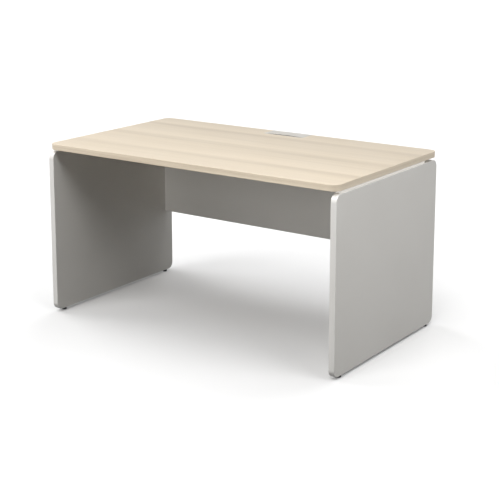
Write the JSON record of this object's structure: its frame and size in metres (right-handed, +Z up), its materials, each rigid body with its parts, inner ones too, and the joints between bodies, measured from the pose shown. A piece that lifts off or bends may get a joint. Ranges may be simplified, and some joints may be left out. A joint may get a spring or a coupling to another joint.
{
  "type": "teacher desk",
  "caption": "Teacher desk: pale wood-decor desktop on white full-height end panels, with a modesty panel, a flap over a rear cable port and levelling feet.",
  "frame": {"origin": "on the floor below the middle of the desktop, which is the bottom centre of the bounding box", "axes": "+X to the right of the seated user, along the desktop's length; +Y away from the user, towards the modesty panel; +Z up"},
  "size_m": [1.4, 0.8, 0.735],
  "materials": {
    "wood_decor": "matt wood-print melamine on chipboard, pale straight grain",
    "wood_edging": "matt ABS edging with the same pale wood print",
    "white_board": "matt warm-white melamine on chipboard, fine pearl texture",
    "white_edging": "matt warm-white ABS edging",
    "black_plastic": "moulded, matt",
    "white_plastic": "moulded, matt",
    "zinc_steel": "bright zinc plate",
    "black_steel": "black zinc plate",
    "coated_steel": "light grey powder coat",
    "brass": "turned",
    "silver_aluminium": "satin silver anodised",
    "beech": "raw turned wood"
  },
  "bodies": {
    "desk": {"cam_bolts": "zinc_steel", "cam_caps": "white_plastic", "cam_locks": "zinc_steel", "desktop_board": "wood_decor", "desktop_bolts": "zinc_steel", "desktop_edge_band": "wood_edging", "desktop_inserts": "brass", "dowels": "beech", "foot_sleeves": "zinc_steel", "hinge_pin": "zinc_steel", "left_front_bracket": "coated_steel", "left_panel_board": "white_board", "left_panel_bolts": "zinc_steel", "left_panel_edge_band": "white_edging", "left_panel_inserts": "brass", "left_rear_bracket": "coated_steel", "left_tie_bracket": "coated_steel", "modesty_board": "white_board", "modesty_bottom_edge_band": "white_edging", "modesty_top_edge_band": "white_edging", "port_frame": "silver_aluminium", "port_screws": "zinc_steel", "rail_pins": "zinc_steel", "right_front_bracket": "coated_steel", "right_panel_board": "white_board", "right_panel_bolts": "zinc_steel", "right_panel_edge_band": "white_edging", "right_panel_inserts": "brass", "right_rear_bracket": "coated_steel", "right_tie_bracket": "coated_steel", "spacer_rails": "silver_aluminium", "tie_screws": "zinc_steel"},
    "flap": {"cable_flap": "silver_aluminium"},
    "left_front_pad": {"left_front_foot_pad": "black_plastic"},
    "left_front_stud": {"left_front_foot_stud": "black_steel"},
    "left_rear_pad": {"left_rear_foot_pad": "black_plastic"},
    "left_rear_stud": {"left_rear_foot_stud": "black_steel"},
    "right_front_pad": {"right_front_foot_pad": "black_plastic"},
    "right_front_stud": {"right_front_foot_stud": "black_steel"},
    "right_rear_pad": {"right_rear_foot_pad": "black_plastic"},
    "right_rear_stud": {"right_rear_foot_stud": "black_steel"}
  },
  "joints": [
    {"name": "flap_hinge", "type": "hinge", "parent": "desk", "child": "flap", "pos_m": [0, 0.393, 0.732], "axis": [-1, 0, 0], "range_deg": [0, 100]},
    {"name": "left_front_height", "type": "slide", "parent": "desk", "child": "left_front_pad", "axis": [0, 0, -1], "range_m": [0, 0.01]},
    {"name": "left_front_screw", "type": "hinge", "parent": "left_front_pad", "child": "left_front_stud", "pos_m": [-0.6875, -0.347, 0], "axis": [0, 0, -1], "range_deg": [0, 2880]},
    {"name": "left_rear_height", "type": "slide", "parent": "desk", "child": "left_rear_pad", "axis": [0, 0, -1], "range_m": [0, 0.01]},
    {"name": "left_rear_screw", "type": "hinge", "parent": "left_rear_pad", "child": "left_rear_stud", "pos_m": [-0.6875, 0.347, 0], "axis": [0, 0, -1], "range_deg": [0, 2880]},
    {"name": "right_front_height", "type": "slide", "parent": "desk", "child": "right_front_pad", "axis": [0, 0, -1], "range_m": [0, 0.01]},
    {"name": "right_front_screw", "type": "hinge", "parent": "right_front_pad", "child": "right_front_stud", "pos_m": [0.6875, -0.347, 0], "axis": [0, 0, -1], "range_deg": [0, 2880]},
    {"name": "right_rear_height", "type": "slide", "parent": "desk", "child": "right_rear_pad", "axis": [0, 0, -1], "range_m": [0, 0.01]},
    {"name": "right_rear_screw", "type": "hinge", "parent": "right_rear_pad", "child": "right_rear_stud", "pos_m": [0.6875, 0.347, 0], "axis": [0, 0, -1], "range_deg": [0, 2880]}
  ],
  "couplings": [
    {"joint": "left_front_screw", "follows": "left_front_height", "rad_per_m": 5026.5},
    {"joint": "left_rear_screw", "follows": "left_rear_height", "rad_per_m": 5026.5},
    {"joint": "right_front_screw", "follows": "right_front_height", "rad_per_m": 5026.5},
    {"joint": "right_rear_screw", "follows": "right_rear_height", "rad_per_m": 5026.5}
  ]
}
